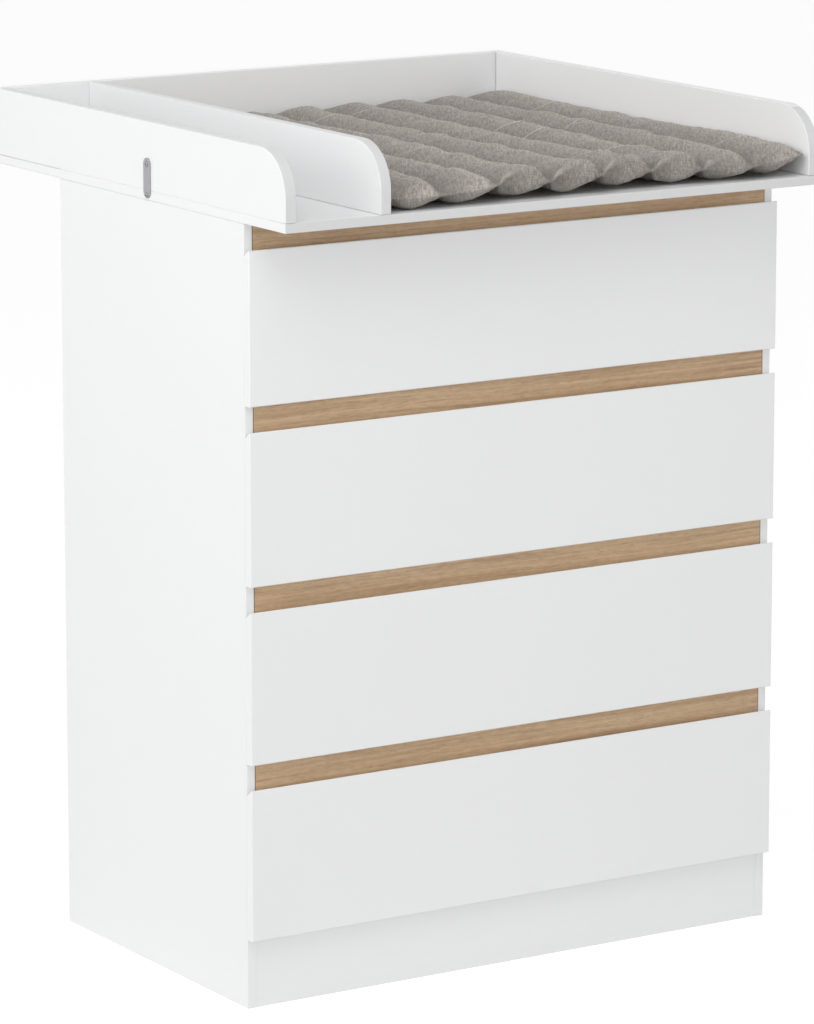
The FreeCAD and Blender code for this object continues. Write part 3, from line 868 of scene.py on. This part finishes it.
# Painted shade: the cloth is painted darker on the flanks beside a seam than on the crest.
flank_shade = (0.60 - within).math("MAXIMUM", 0.0) / 0.50
flank_shade = flank_shade.math("MAXIMUM", (within - 0.78).math("MAXIMUM", 0.0) / 0.22).math("MINIMUM", 1.0)
tone = mixed(flank_shade * 0.70, tone, mixed(height, *FLANK_SHADE_PAIR))
# Painted shade and a painted highlight on the rolls' front ends.
end_highlight, end_shade, _ = parts(wire.add("UVMap", {"uv_map": "ends"}))
tone = mixed(end_shade * 0.50, tone, mixed(height, *END_SHADE_PAIR))
tone = mixed(end_highlight * 0.60, tone, mixed(height, *HIP_HIGHLIGHT_PAIR))
tone = mixed(fold_highlight * 0.75, tone, FOLD_HIGHLIGHT)
close_finish(cotton, principled(
    wire, Base_Color=tone, Roughness=0.9, Normal=relief(height, 0.0009),
    Sheen_Weight=0.15, Sheen_Roughness=0.5, Sheen_Tint=(1, 1, 1, 1), Specular_IOR_Level=0.2))

mat = new_piece("changing_mat_cover", start, mat_faces.tolist(), cotton)
seam_columns = np.arange(0, CHANNELS + 1) * CELLS
flat_front = top_index[0, FLAT_SEAM[channel_of[0]] == 1]
sewn = np.unique(np.concatenate([
    top_index[:, seam_columns].ravel(), bottom_index[:, seam_columns].ravel(), top_index[-1],
    flat_front]))
swollen = inflate(mat, sewn, cut)
MOST_SWELL = 0.024
moved = swollen - start
distance = np.linalg.norm(moved, axis=1, keepdims=True)
swollen = start + moved * np.minimum(1, MOST_SWELL / np.maximum(distance, 1e-9))
swollen[top_index] = leaned(swollen[top_index])
mat.data.vertices.foreach_set("co", swollen.astype(np.float32).ravel())
cloth_places, rim_places = np.zeros((2, len(swollen), 2))
for index in (bottom_index, top_index):
    from_middle, from_rim = cloth_lengths(swollen, index)
    cloth_places[index] = grid(across * pitch, from_middle)
    rim_places[index] = grid(0 * across, from_rim)
write_map(mat.data, "cloth", cloth_places)
write_map(mat.data, "rim", rim_places)
crease_rim(mat.data, np.concatenate([
    top_index[0], top_index[-1], top_index[:, 0], top_index[:, -1]]))
mat.data.update()
subdivided(mat)
fine = points_of(mat.data)
facing = np.empty(len(fine) * 3, np.float32)
mat.data.vertex_normals.foreach_get("vector", facing)
facing = facing.reshape(-1, 3).astype(float)
fine_places, fine_from_rim = read_map(mat.data, "cloth"), read_map(mat.data, "rim")[:, 1]
mat.data.uv_layers.remove(mat.data.uv_layers["rim"])
write_map(mat.data, "ends", end_light_and_shade(fine_places, fine_from_rim, facing))
fine = gathered(fine, facing, fine_places, fine_from_rim)
# Cloth that would sink below the board flattens on it, over the last 2 mm of height.
REST, SETTLE, SIDE_SPARE = BOARD_TOP + 0.0002, 0.002, 0.0005
settled = np.exp((np.minimum(fine[:, 2], REST + SETTLE) - REST - SETTLE) / SETTLE)
fine[:, 2] = np.where(fine[:, 2] < REST + SETTLE, REST + SETTLE * settled, fine[:, 2])
fine[:, 0] = np.clip(fine[:, 0], mat_low[0] - SIDE_SPARE, mat_high[0] + SIDE_SPARE)
mat.data.vertices.foreach_set("co", fine.astype(np.float32).ravel())
mat.data.update()
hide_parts("changing_mat")
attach(mat, "mat")

# ---------------------------------------------------------------------------------------------
# Mat stitches. A lock stitch in taupe thread holds the layers together along each channel seam.
# Each stitch is a short rounded length of thread that dips into the cloth at both ends.
# ---------------------------------------------------------------------------------------------
STITCH, STITCH_PITCH, THREAD = 0.0031, 0.0040, 0.00042
CROWN, DIP = 0.0011, 0.0006
END_SPARE = 0.010
STEPS, SIDES = 5, 6
THREAD_DARK, THREAD_PALE = (0.30, 0.275, 0.25, 1), (0.50, 0.465, 0.43, 1)
thread_finish, wire = new_finish("taupe_thread")
place = object_place(wire)
twist = noise(stretched(place, (900, 2600, 900)), 1.0, 2.0)
close_finish(thread_finish, principled(
    wire, Base_Color=mixed(twist, THREAD_DARK, THREAD_PALE), Roughness=0.7,
    Normal=relief(twist, 0.0001)))
middles = np.arange(END_SPARE, mat_length - END_SPARE, STITCH_PITCH)
steps = np.linspace(-1, 1, STEPS)
sides = np.linspace(0, 2 * math.pi, SIDES, endpoint=False)


def stitch_row(column):
    """The stitches along one seam, as points of stitch, step and side: a round section that
    shrinks as a half circle to both ends and bends down as a parabola."""
    seam = np.stack([sheet_x[:, column], sheet_y[:, column], sheet_z[:, column]], axis=1)
    y = middles[:, None] + steps[None, :] * STITCH / 2
    line = np.stack([np.interp(y, rows, seam[:, axis]) for axis in range(3)], axis=-1)
    line[..., 2] += CROWN - DIP * steps[None, :] ** 2
    thick = THREAD * np.sqrt(1 - 0.94 * steps ** 2)
    round_off = grid(np.cos(sides), 0 * sides, np.sin(sides))
    return line[:, :, None, :] + thick[None, :, None, None] * round_off[None, None, :, :]


rings = np.stack([stitch_row(column) for column in seam_columns[1:-1]])
rings = rings.reshape(-1, STEPS, SIDES, 3)
first = np.arange(len(rings))[:, None, None] * STEPS * SIDES
step_index, side_index = np.meshgrid(np.arange(STEPS - 1), np.arange(SIDES), indexing="ij")
beside = (side_index + 1) % SIDES
corners = [step_index * SIDES + side_index, (step_index + 1) * SIDES + side_index,
           (step_index + 1) * SIDES + beside, step_index * SIDES + beside]
tube = np.stack([first + corner[None] for corner in corners], axis=-1).reshape(-1, 4)
first = first[:, 0]
caps = np.concatenate([first + np.arange(SIDES), first + STEPS * SIDES - 1 - np.arange(SIDES)])
stitch_mesh = new_piece(
    "mat_stitches", rings.reshape(-1, 3), tube.tolist() + caps.tolist(), thread_finish)
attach(stitch_mesh, "mat")
